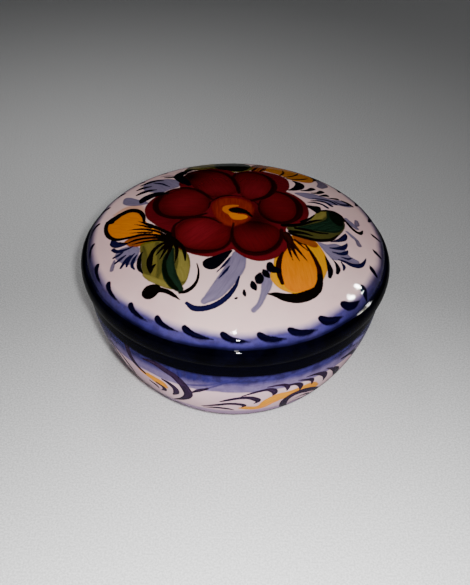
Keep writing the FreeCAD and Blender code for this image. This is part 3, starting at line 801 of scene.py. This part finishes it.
def paint_scroll(sheet, turn):
    """One scroll of the base's border, turned round the axis by that many degrees."""

    def mark(name, *points):
        sheet.stroke(name, *[(round_base(degrees + turn), z, width) for degrees, z, width in points])

    def marks(name, *paths):
        for path in paths:
            mark(name, *path)

    marks("ochre",
        ((-34.3, 30.6, .6), (-31.6, 28.8, 1.4), (-29.4, 28, 1.5), (-27.7, 27, .7)),
        ((-40.4, 32.6, .3), (-37.6, 30.6, .7), (-34, 29, .6)))
    marks("plum",
        ((-42.6, 41, .9), (-42, 36.6, .9), (-40, 32.8, .8), (-36.3, 30.2, .4)),
        ((-34.8, 39.4, .3), (-30, 40, .8), (-25.4, 38.2, 1), (-22.3, 36.6, 1.1), (-19.8, 33.4, 1.25),
         (-18.2, 28.9, 1.35), (-18.6, 25.2, 1.1), (-21.6, 21.1, .7), (-27.1, 16.4, .15)),
        ((-28, 31.8, .3), (-25.2, 30.6, .75), (-23.2, 28, .95), (-23.6, 25, .8), (-25.6, 22, .2)),
        ((-31.8, 27.2, .3), (-29, 25.4, .65), (-29.2, 23.4, .6), (-31, 21.9, .15)),
        ((-35.4, 25.6, .3), (-33, 24.4, .6), (-32, 22.6, .2)))
    for angle, top, foot, width in ((-24.5, 42, 36.5, .6), (-20.4, 41, 36, .9), (-17, 40.6, 37.6, .8),
                                     (-14.9, 41, 37.4, .9), (-11.4, 41, 38, .75), (-10, 40.6, 37.6, .5)):
        mark("blot", (angle, top, width * .7), (angle + .3, (top + foot) / 2, width),
             (angle, foot, width * .4))
    mark("plum", (-15.9, 29.4, .3), (-13.6, 31.4, .6), (-10.2, 33.6, .35))
    marks("blot",
        ((-11, 33.2, .3), (-6.9, 36.1, .45), (-3.7, 38, .3), (2, 39.4, .2)),
        ((-19, 33.4, .3), (-15, 34.4, .5), (-9, 36.2, .5), (-3, 39.4, .3)))
    marks("plum",
        ((-5.8, 25.1, .2), (-3, 26.7, .5), (1, 28.3, .6), (5, 28.5, .8), (8, 26.6, .95), (8.7, 24.9, .6),
         (7.4, 23.2, .15)),
        ((-13.9, 18.4, .15), (-7.5, 21.6, .55), (-3, 23.5, .6), (.9, 23.5, .7), (3.6, 22, .6),
         (2.7, 20.1, .15)),
        ((-13.2, 17.3, .15), (-7.8, 18.8, .6), (-3.1, 18.4, .6), (-.6, 17.2, .2)),
        ((2.3, 29.9, .15), (6.6, 31.9, .4), (11, 33, .5), (13.6, 31.9, .9), (14.6, 29.8, .7),
         (14.1, 28.4, .2)),
        ((11.3, 34.6, .12), (14.6, 34.7, .35), (18, 33.9, .55), (19.4, 31.8, .6), (19.4, 29.6, .15)),
        ((18.2, 33.6, .2), (22.6, 32.6, .5), (24.9, 30.4, .75), (25.6, 27.2, .2)),
        ((23, 34.6, .12), (26.4, 33.2, .35), (29.6, 31.4, .6), (30.6, 27.9, .2)),
        ((26.3, 35, .12), (31, 34.2, .5), (35.2, 31.4, .85), (36.9, 28, .6), (37.1, 25.3, .15)),
        ((35.3, 34.8, .12), (40, 31, .55), (43.3, 26, .6), (44.9, 21.8, .15)),
        ((40.2, 32.4, .12), (43.4, 29, .45), (45.6, 25.1, .5), (46.5, 21.1, .15)),
        ((42.9, 35, .3), (50, 33, .7), (56.5, 27.4, 1), (58.6, 20.6, 1), (56, 13.5, .5), (51, 9, .15)),
        ((61, 36, .15), (66, 31.6, .5), (68.4, 25.4, .7), (67, 19, .2)),
        ((68.4, 34, .15), (72.6, 29.6, .45), (74.4, 24.4, .55), (73.4, 20, .15)))
    mark("wash", (49, 39.4, 1), (56, 36.6, 1.6), (63, 29.6, 1.6), (65.4, 22, 1))
    mark("amber_glaze", (9, 17.2, .6), (11.6, 18.6, 1), (13.6, 21, .8), (17, 22.6, .7))
    mark("ochre", (2.1, 19.4, .4), (4.6, 19.3, 1), (8.6, 18.4, 1.1), (11.4, 19.9, 1.3), (13.3, 23.2, 1.8),
        (16.4, 25.6, 1.9), (19.4, 26, 1.6), (22.4, 26.8, 1.2), (26.3, 27.4, 1.3), (30.4, 26.8, 1.3),
        (34.4, 23.8, .6))
    marks("plum",
        ((27.3, 8.6, .5), (23.4, 12, .9), (21.3, 16.4, 1.2), (20.8, 21, 1.3), (23, 24.2, 1.3),
         (26.9, 24.8, 1.25), (31.3, 22.9, 1.2), (36.4, 19.4, .8), (40.4, 14.6, .3)),
        ((24.4, 15.4, .15), (27, 16.6, .35), (30.6, 15.4, .3), (33.4, 13, .12)),
        ((25.8, 19.4, .12), (28.4, 20.2, .3), (32, 18.8, .5), (34.4, 16.2, .15)))
    mark("ochre", (46, 12, .4), (48.6, 8.8, .8), (52.4, 7.4, .4))
    marks("plum",
        ((-40, 14, .15), (-35.4, 11.4, .6), (-30, 10.8, .6), (-25.6, 12.6, .15)),
        ((-46.4, 20.4, .15), (-43.6, 15.4, .7), (-39.8, 12.6, .2)))


# A vertex further under the outside than this isn't painted
LID_SKIN = 2.0
BASE_SKIN = 1.5
# A vertex no further than this above or below a resting face belongs to it
AT_FACE = 0.25
# How far off an edge the painted side begins
AT_GROOVE = 0.01
ABOVE_SEAT = 0.05
ABOVE_FOOT = 0.2
# A distance that is clear of every band, for what isn't painted
NO_BAND = 60.0
# The wiped rings stop short of the rounded edges beside them: inner and outer radius
WIPED_SEAT = (flange_outer + 1.5, seat_outer_radius - 0.3)
WIPED_RIM = (rim_radius - rim_wall + 0.9, rim_radius - 1.0)
WIPED_FOOT = (foot_radius - foot_ring_width + 0.2, foot_radius - 0.7)


def seat_wear(points, radius, height, inner, outer):
    """1 where a ring stands on something, and the glaze was wiped off the clay, else 0."""
    flat = np.abs(points[:, 2] - height) < AT_FACE
    return np.where(flat & (radius > inner) & (radius < outer), 1.0, 0.0)


def painted_lid_sheet(points):
    x, y, height = points.T
    radius = np.hypot(x, y)
    dome = lid_outside()
    on_dome = (radius <= groove_radius) & (height > np.interp(radius, dome[:, 0], dome[:, 1]) - LID_SKIN)
    on_bead = (radius > groove_radius - AT_GROOVE) & (height > base_height + ABOVE_SEAT)
    # How far outside the groove a place lies, so that the edge can carry its blue band
    band = np.where(on_bead, groove_height - height, radius - groove_radius)
    band = np.where(on_dome | on_bead, band, -NO_BAND)
    sheet = Sheet(points[:, :2].copy(), on_dome, groove_radius * np.arctan2(np.abs(x), -y), band)
    for paint in (paint_red_flower, paint_left_bloom, paint_left_spray, paint_left_leaf, paint_near_middle,
                  paint_right_bloom, paint_right_leaf, paint_right_spray, paint_far_right,
                  paint_far_left, paint_border):
        paint(sheet)
    sheet.inks["band"] = band
    # The wash starts a little further in at the sides and the back than at the front, and its darkening
    # there is painted shade, where less light reaches the lid's sides
    front = np.clip(-y / np.maximum(radius, 1), 0, 1) ** 2
    sheet.inks["wash_shift"] = -0.6 - 0.1 * front
    sheet.inks["wash_depth"] = np.clip(1 - 1.6 * front, 0, 1)
    sheet.inks["bare"] = seat_wear(points, radius, base_height, *WIPED_SEAT)
    return sheet


def painted_base_sheet(points):
    x, y, height = points.T
    way_round = np.arctan2(x, -y) * rim_radius
    radius = np.hypot(x, y)
    wall = base_outside()[::-1]
    painted = (radius > np.interp(height, wall[:, 1], wall[:, 0]) - BASE_SKIN) & (height > ABOVE_FOOT)
    sheet = Sheet(np.stack([way_round, height], -1), painted, np.abs(way_round), height)
    first_turn = 1.4
    for turn in (first_turn, first_turn + 120, first_turn - 120):
        paint_scroll(sheet, turn)
        # The sheet is open at the back, so what crosses that line is painted from both sides
        paint_scroll(sheet, turn - 360 if turn > 0 else turn + 360)
    sheet.inks["band"] = np.where(painted, base_height - height, NO_BAND)
    sheet.inks["bare"] = np.maximum(seat_wear(points, radius, base_height, *WIPED_RIM),
                                    seat_wear(points, radius, 0.0, *WIPED_FOOT))
    return sheet


# Materials
def srgb(red, green, blue):
    """A colour read on the usual 0 to 255 scale, as light."""
    linear = [c / 255 / 12.92 if c / 255 <= 0.04045 else ((c / 255 + 0.055) / 1.055) ** 2.4
              for c in (red, green, blue)]
    return (*linear, 1.0)


class Shader:
    """A material's node tree, with one short call per node."""

    def __init__(self, name):
        self.material = bpy.data.materials.new(name)
        self.material.use_nodes = True
        self.nodes = self.material.node_tree.nodes
        self.links = self.material.node_tree.links
        self.nodes.clear()

    def node(self, kind, **settings):
        made = self.nodes.new("ShaderNode" + kind)
        for key, value in settings.items():
            setattr(made, key, value)
        return made

    def feed(self, socket, value):
        if isinstance(value, bpy.types.NodeSocket):
            self.links.new(value, socket)
        else:
            socket.default_value = value

    def attribute(self, name, output="Fac"):
        return self.node("Attribute", attribute_name=name).outputs[output]

    def maths(self, operation, *values):
        made = self.node("Math", operation=operation)
        for socket, value in zip(made.inputs, values):
            self.feed(socket, value)
        return made.outputs[0]

    def plus(self, first, second):
        return self.maths("ADD", first, second)

    def times(self, first, second):
        return self.maths("MULTIPLY", first, second)

    def ramp(self, value, low, high, to_low=0.0, to_high=1.0):
        """A smooth step from to_low at low to to_high at high."""
        made = self.node("MapRange", interpolation_type="SMOOTHSTEP")
        for socket, given in zip(made.inputs, (value, low, high, to_low, to_high)):
            self.feed(socket, given)
        return made.outputs[0]

    def noise(self, scale, detail=3.0, roughness=0.55, vector=None, stretch=None):
        made = self.node("TexNoise")
        made.inputs["Scale"].default_value = scale
        made.inputs["Detail"].default_value = detail
        made.inputs["Roughness"].default_value = roughness
        if vector is None:
            vector = self.node("TexCoord").outputs["Object"]
        if stretch is not None:
            scaled = self.node("VectorMath", operation="MULTIPLY")
            self.links.new(vector, scaled.inputs[0])
            scaled.inputs[1].default_value = stretch
            vector = scaled.outputs[0]
        self.links.new(vector, made.inputs["Vector"])
        return made.outputs["Fac"]

    def waver(self, scale, swing, *shape):
        """Noise that goes as far below nothing as above it."""
        return self.maths("MULTIPLY_ADD", self.noise(scale, 3.0, *shape), 2 * swing, -swing)

    def mix(self, factor, first, second):
        """A mix of two colours, which are the node's inputs 6 and 7 and its output 2."""
        made = self.node("Mix", data_type="RGBA", blend_type="MIX")
        made.clamp_factor = True
        self.feed(made.inputs[0], factor)
        self.feed(made.inputs[6], first)
        self.feed(made.inputs[7], second)
        return made.outputs[2]


# Each colour: (ink, thin, thick, softness of the edge in mm, how much it covers, how much its edge darkens)
LID_COLOURS = (
    ("glaze_orange", (214, 150, 110), (204, 130, 80), 1.6, 0.7, 0.0),
    ("wash", (124, 114, 144), (90, 84, 114), 0.55, 0.95, 0.3),
    ("grey", (118, 105, 130), (84, 74, 98), 0.5, 0.95, 0.3),
    ("lemon", (218, 152, 4), (204, 134, 0), 0.45, 1.0, 0.2),
    ("yellow", (222, 128, 0), (202, 106, 0), 0.45, 1.0, 0.2),
    ("amber", (202, 124, 18), (164, 90, 8), 0.6, 1.0, 0.2),
    ("orange", (160, 82, 20), (122, 54, 14), 0.5, 1.0, 0.2),
    ("leaf", (112, 102, 28), (86, 78, 20), 0.45, 0.98, 0.3),
    ("moss", (78, 76, 36), (46, 46, 18), 0.45, 1.0, 0.3),
    ("olive", (86, 80, 34), (56, 54, 20), 0.9, 0.85, 0.2),
    ("lime", (138, 126, 60), (112, 102, 44), 0.6, 0.9, 0.1),
    ("green", (26, 48, 33), (14, 28, 17), 0.5, 1.0, 0.35),
    ("green_black", (12, 20, 8), (5, 9, 3), 0.7, 1.0, 0.2),
    ("margin", (106, 17, 26), (78, 8, 13), 0.4, 1.0, 0.15),
)
LID_LINES = (
    ("disc", (142, 40, 10), (100, 15, 5), 1.5, 0.95, 0.3),
    ("contour", (30, 3, 3), (16, 1, 1), 0.6, 0.92, 0.0),
    ("peach", (198, 108, 22), (184, 92, 12), 0.5, 0.95, 0.0),
    ("glow", (212, 120, 12), (198, 104, 6), 0.5, 1.0, 0.0),
    ("brown", (48, 12, 4), (18, 3, 2), 0.3, 1.0, 0.2),
    ("dash", (7, 6, 32), (3, 2, 18), 0.4, 1.0, 0.2),
    ("navy", (23, 20, 64), (10, 8, 40), 0.3, 1.0, 0.3),
    ("navy_black", (5, 5, 16), (2, 2, 7), 0.32, 1.0, 0.2),
    ("fan", (16, 7, 4), (5, 2, 1), 0.26, 1.0, 0.2),
    ("black", (12, 6, 4), (4, 2, 1), 0.28, 1.0, 0.2),
)
BASE_COLOURS = (
    ("wash", (132, 122, 168), (100, 92, 144), 0.9, 0.8, 0.2),
    ("ochre", (222, 150, 16), (204, 126, 2), 0.7, 0.97, 0.2),
    ("amber_glaze", (232, 156, 78), (220, 130, 44), 0.9, 0.9, 0.1),
    ("blot", (40, 36, 98), (24, 20, 70), 1.0, 0.8, 0.1),
    ("plum", (52, 34, 60), (30, 16, 38), 0.35, 1.0, 0.3),
)


# Where paint thickens towards its edge, as distances to the edge
POOLING = (-1.4, -0.1)


def laid(shader, colour, layers, edge_noise, streaks):
    """Lays each colour over the one before, thicker along its brush marks and at its edge."""
    for name, thin, thick, soft, cover, pool in layers:
        distance = shader.plus(shader.attribute("ink_" + name), edge_noise)
        mask = shader.ramp(distance, soft * 0.5, -soft * 0.5, 0.0, cover)
        body = shader.maths("MULTIPLY_ADD", shader.ramp(distance, *POOLING), pool, streaks)
        pigment = shader.mix(body, srgb(*thin), srgb(*thick))
        colour = shader.mix(mask, colour, pigment)
    return colour


def glaze_over(shader, colour, bare, bump_height):
    """Finishes the material: glossy tin glaze, and dry clay where it was wiped away."""
    clay = shader.mix(shader.noise(900.0, 4.0), srgb(196, 160, 128), srgb(222, 192, 164))
    bare_mask = shader.ramp(bare, 0.35, 0.65)
    principled = shader.node("BsdfPrincipled")
    shader.feed(principled.inputs["Base Color"], shader.mix(bare_mask, colour, clay))
    patches = shader.noise(140.0, 2.0)
    gloss = shader.ramp(patches, 0.3, 0.7, 0.014, 0.034)
    shader.feed(principled.inputs["Roughness"], shader.maths("MULTIPLY_ADD", bare_mask, 0.6, gloss))
    principled.inputs["IOR"].default_value = 1.42
    principled.inputs["Specular IOR Level"].default_value = 0.2
    bump = shader.node("Bump")
    bump.inputs["Strength"].default_value = 0.35
    bump.inputs["Distance"].default_value = 0.0004
    shader.feed(bump.inputs["Height"], bump_height)
    shader.links.new(bump.outputs["Normal"], principled.inputs["Normal"])
    output = shader.node("OutputMaterial")
    shader.links.new(principled.outputs[0], output.inputs["Surface"])
    return shader.material


def white_glaze(shader, thick, thin):
    """Warm white tin glaze, a little uneven, with fine specks."""
    cloudy = shader.ramp(shader.noise(42.0, 3.0), 0.35, 0.7)
    colour = shader.mix(cloudy, thick, thin)
    specks = shader.ramp(shader.noise(1500.0, 2.0), 0.74, 0.8, 0.0, 0.35)
    return shader.mix(specks, colour, srgb(176, 140, 126))


def brushed(shader, streaks):
    """How thick a wash lies: along the brush's marks, and in blotches."""
    blotches = shader.ramp(shader.noise(330.0, 4.0, 0.65), 0.38, 0.64)
    return shader.maths("MULTIPLY_ADD", blotches, 0.6, shader.times(streaks, 0.55))


def brush_marks(shader):
    """Streaks along each stroke, and how ragged the edges of the paint are, in mm."""
    grain = shader.attribute("grain", "Vector")
    streaks = shader.ramp(shader.noise(1.0, 3.0, 0.6, grain, (0.16, 1.3, 1.0)), 0.3, 0.7, 0.2, 0.75)
    return streaks, shader.waver(1100.0, 0.15)


def surface_relief(shader):
    """Slow waves of the thrown wall under fine orange peel."""
    waves = shader.noise(60.0, 2.0)
    peel = shader.noise(650.0, 2.0)
    return shader.maths("MULTIPLY_ADD", peel, 0.12, waves)


# The lid's blue edge and near-black bead: mm from the groove where each begins and is full, and its cover
LID_HAZE = (-5.2, -3.0, 0.0, 0.7)
LID_BLUE = (-3.9, -2.0, 0.0, 0.9)
LID_EDGE_BLUE = (-1.8, -0.4, 0.0, 0.75)
LID_BEAD = (-0.3, 0.15)
# The same for the base, in mm below its rim
BASE_PALE_BLUE = (15.0, 14.0, 0.0, 0.85)
BASE_DEEP_BLUE = (12.0, 8.0, 0.0, 0.9)
BASE_RIM = (6.6, 5.0)
# Two lavender turns of the brush low on the base: the heights at which the upper and the lower edge
# begin and are full
BELLY_BAND = ((17.0, 15.6), (8.4, 9.6))
FOOT_LINE = ((3.6, 2.9), (1.0, 1.6))


def lid_material():
    shader = Shader("painted_lid_glaze")
    streaks, ragged = brush_marks(shader)
    colour = white_glaze(shader, srgb(240, 203, 200), srgb(228, 188, 188))

    # The edge: a blue wash that deepens outwards to a near-black band on the bead
    band = shader.attribute("ink_band")
    uneven = shader.waver(75.0, 1.3)
    place = shader.plus(shader.plus(band, uneven), shader.attribute("ink_wash_shift"))
    # Painted shade: the haze, the blue and the edge blue turn darker towards the sides and back of the lid,
    # where less light falls
    depth = shader.times(shader.attribute("ink_wash_depth"), 0.8)
    haze = shader.mix(depth, srgb(110, 106, 160), srgb(104, 92, 116))
    colour = shader.mix(shader.ramp(place, *LID_HAZE), colour, haze)
    blue = shader.mix(brushed(shader, streaks), srgb(46, 43, 122), srgb(14, 12, 68))
    blue = shader.mix(depth, blue, srgb(20, 18, 48))
    colour = shader.mix(shader.ramp(place, *LID_BLUE), colour, blue)
    edge_blue = shader.mix(depth, srgb(22, 20, 80), srgb(8, 7, 24))
    colour = shader.mix(shader.ramp(place, *LID_EDGE_BLUE), colour, edge_blue)

    colour = laid(shader, colour, LID_COLOURS, ragged, streaks)
    red = shader.mix(streaks, srgb(82, 8, 12), srgb(64, 5, 8))
    light = shader.times(shader.attribute("ink_light"), shader.ramp(streaks, 0.0, 1.0, 0.75, 0.45))
    red = shader.mix(light, red, srgb(126, 24, 32))
    petal = shader.plus(shader.attribute("ink_petal"), ragged)
    red = shader.mix(shader.ramp(petal, -2.4, -0.2, 0.0, 0.5), red, srgb(36, 2, 2))
    colour = shader.mix(shader.ramp(petal, 0.3, -0.3, 0.0, 0.97), colour, red)
    inside_flower = shader.ramp(shader.attribute("ink_margin"), 0.2, -0.4)
    dark = shader.times(shader.attribute("ink_dark"), inside_flower)
    colour = shader.mix(shader.times(dark, 0.8), colour, srgb(14, 2, 1))
    colour = laid(shader, colour, LID_LINES, ragged, streaks)

    bead = shader.maths("MULTIPLY_ADD", uneven, 0.15, band)
    bead_colour = shader.mix(shader.ramp(shader.noise(160.0, 3.0), 0.35, 0.7), srgb(1, 1, 4), srgb(3, 3, 13))
    colour = shader.mix(shader.ramp(bead, *LID_BEAD), colour, bead_colour)
    return glaze_over(shader, colour, shader.attribute("ink_bare"), surface_relief(shader))


def low_band(shader, below_rim, edges):
    """1 inside one of the base's low bands, else 0."""
    upper, lower = (shader.ramp(below_rim, *[base_height - height for height in edge]) for edge in edges)
    return shader.times(upper, lower)


def base_material():
    shader = Shader("painted_base_glaze")
    streaks, ragged = brush_marks(shader)
    # The base's white glaze is darker than the lid's: painted shade from the overhanging lid
    colour = white_glaze(shader, srgb(216, 182, 188), srgb(198, 164, 174))

    # Below the rim: a near-black band over a blue wash that thins downwards
    band = shader.attribute("ink_band")
    uneven = shader.waver(34.0, 2.5)
    ripple = shader.waver(190.0, 0.6)
    edge = shader.plus(band, shader.maths("MULTIPLY_ADD", uneven, 0.45, ripple))
    brush = brushed(shader, streaks)
    pale = shader.mix(brush, srgb(90, 84, 132), srgb(50, 46, 102))
    colour = shader.mix(shader.ramp(edge, *BASE_PALE_BLUE), colour, pale)
    drips = shader.waver(150.0, 1.5, 0.6, None, (1.0, 1.0, 0.12))
    place = shader.plus(band, shader.plus(uneven, drips))
    deep = shader.mix(brush, srgb(40, 36, 102), srgb(11, 9, 52))
    colour = shader.mix(shader.ramp(place, *BASE_DEEP_BLUE), colour, deep)
    colour = shader.mix(shader.times(low_band(shader, edge, BELLY_BAND), 0.7), colour, srgb(150, 124, 168))
    colour = laid(shader, colour, BASE_COLOURS, ragged, streaks)
    dark_place = shader.plus(band, shader.times(uneven, 0.35))
    colour = shader.mix(shader.ramp(dark_place, *BASE_RIM), colour, srgb(2, 2, 8))
    foot = shader.plus(band, shader.times(uneven, 0.08))
    colour = shader.mix(shader.times(low_band(shader, foot, FOOT_LINE), 0.8), colour, srgb(128, 112, 156))
    return glaze_over(shader, colour, shader.attribute("ink_bare"), surface_relief(shader))


def floor_material():
    shader = Shader("floor_paper")
    grain = shader.noise(1500.0, 2.0)
    colour = shader.mix(shader.ramp(grain, 0.3, 0.7), srgb(184, 184, 184), srgb(216, 216, 216))
    principled = shader.node("BsdfPrincipled")
    shader.feed(principled.inputs["Base Color"], colour)
    principled.inputs["Roughness"].default_value = 0.9
    output = shader.node("OutputMaterial")
    shader.links.new(principled.outputs[0], output.inputs["Surface"])
    return shader.material


# The two pieces
def dress(made, sheet_of, material, node):
    """Paints a mesh and puts it in the place of its node's solid."""
    piece, points = made
    bpy.context.scene.collection.objects.link(piece)
    sheet_of(points).store(piece.data)
    piece.data.materials.append(material)
    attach(piece, node)
    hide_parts(node)


dress(lid_mesh(), painted_lid_sheet, lid_material(), "lid")
dress(base_mesh(), painted_base_sheet, base_material(), "base")


# Stage, with places and sizes in metres
def make_floor():
    size = 3.0
    mesh = bpy.data.meshes.new("floor")
    corners = [(-size, -size, 0), (size, -size, 0), (size, size, 0), (-size, size, 0)]
    mesh.from_pydata(corners, [], [(0, 1, 2, 3)])
    mesh.materials.append(floor_material())
    floor = bpy.data.objects.new("floor", mesh)
    bpy.context.scene.collection.objects.link(floor)
    # The glaze mirrors the dim floor_sheen card of make_lights in the floor's place
    floor.visible_glossy = False


def make_camera():
    """The photograph's view: from the front, forty degrees up, with a little roll."""
    elevation = math.radians(40.4)
    roll = math.radians(1.54)
    distance = 0.29585
    aim = Vector((0.00013, 0.0, 0.03087))
    focal_pixels = 750.0
    picture_height = 585
    data = bpy.data.cameras.new("camera")
    data.sensor_width = 36.0
    data.lens = focal_pixels * data.sensor_width / picture_height
    data.clip_start = 0.01
    camera = bpy.data.objects.new("camera", data)
    back = Vector((0.0, -math.cos(elevation), math.sin(elevation)))
    camera.matrix_world = (Matrix.Translation(aim + back * distance)
                           @ back.to_track_quat("Z", "Y").to_matrix().to_4x4()
                           @ Matrix.Rotation(roll, 4, "Z"))
    bpy.context.scene.collection.objects.link(camera)
    bpy.context.scene.camera = camera


def area_light(name, place, aim, size, watts, size_y=None, mirrored=False, lights_up=True, spread=180):
    """A soft light; only the mirrored ones show in the glaze, and some do nothing else."""
    data = bpy.data.lights.new(name, "AREA")
    data.energy = watts
    data.size = size
    data.spread = math.radians(spread)
    if size_y is not None:
        data.shape = "RECTANGLE"
        data.size_y = size_y
    light = bpy.data.objects.new(name, data)
    back = Vector(place) - Vector(aim)
    light.matrix_world = Matrix.Translation(place) @ back.to_track_quat("Z", "Y").to_matrix().to_4x4()
    light.visible_glossy = mirrored
    light.visible_diffuse = lights_up
    light.visible_camera = False
    bpy.context.scene.collection.objects.link(light)


def towards(turn, elevation, distance):
    """A place seen from the lid that many degrees round from the front, and up."""
    seen_from = 0.06
    turn, elevation = math.radians(turn), math.radians(elevation)
    flat = distance * math.cos(elevation)
    return flat * math.sin(turn), -flat * math.cos(turn), seen_from + distance * math.sin(elevation)


def make_lights():
    centre = (0.0, 0.0, 0.05)
    # The flash points down in front of the box, so that the light falls off across the lid
    area_light("flash", (0.0165, -0.222, 0.228), (0.0153, -0.25, 0.03), 0.024, 1.48, spread=116)
    area_light("floor_lamp", (-0.09, 0.13, 0.40), (-0.09, 0.13, 0.0), 0.05, 0.09, spread=78)
    area_light("flash_glint", (0.0125, -0.222, 0.228), centre, 0.010, 0.76, 0.016, mirrored=True)
    area_light("floor_sheen", (0.0, 0.0, 0.0004), (0.0, 0.0, 1.0), 0.8, 0.2, mirrored=True, lights_up=False)
    area_light("key", towards(-35, 50, 0.9), centre, 0.35, 0.08)
    area_light("back_left", towards(-135, 12, 0.8), centre, 0.4, 0.1)
    area_light("back_right", towards(135, 12, 0.8), centre, 0.4, 0.06)
    area_light("ceiling_lamp", towards(12.1, 87.0, 0.9), centre, 0.026, 1.0, mirrored=True, lights_up=False)
    panes = ((0.520, 0.344, 0.582), (0.586, 0.286, 0.554), (0.517, 0.271, 0.624))
    lid_right = (0.042, -0.030, 0.058)
    for number, place in enumerate(panes, 1):
        area_light("window_%d" % number, place, lid_right, 0.026, 1.7, 0.036, mirrored=True, lights_up=False)
    world = bpy.data.worlds.new("studio")
    world.use_nodes = True
    background = world.node_tree.nodes["Background"]
    background.inputs["Color"].default_value = (0.92, 0.96, 1.0, 1.0)
    background.inputs["Strength"].default_value = 0.045
    world.cycles_visibility.glossy = False
    bpy.context.scene.world = world


make_floor()
make_camera()
make_lights()

bpy.context.view_layer.update()
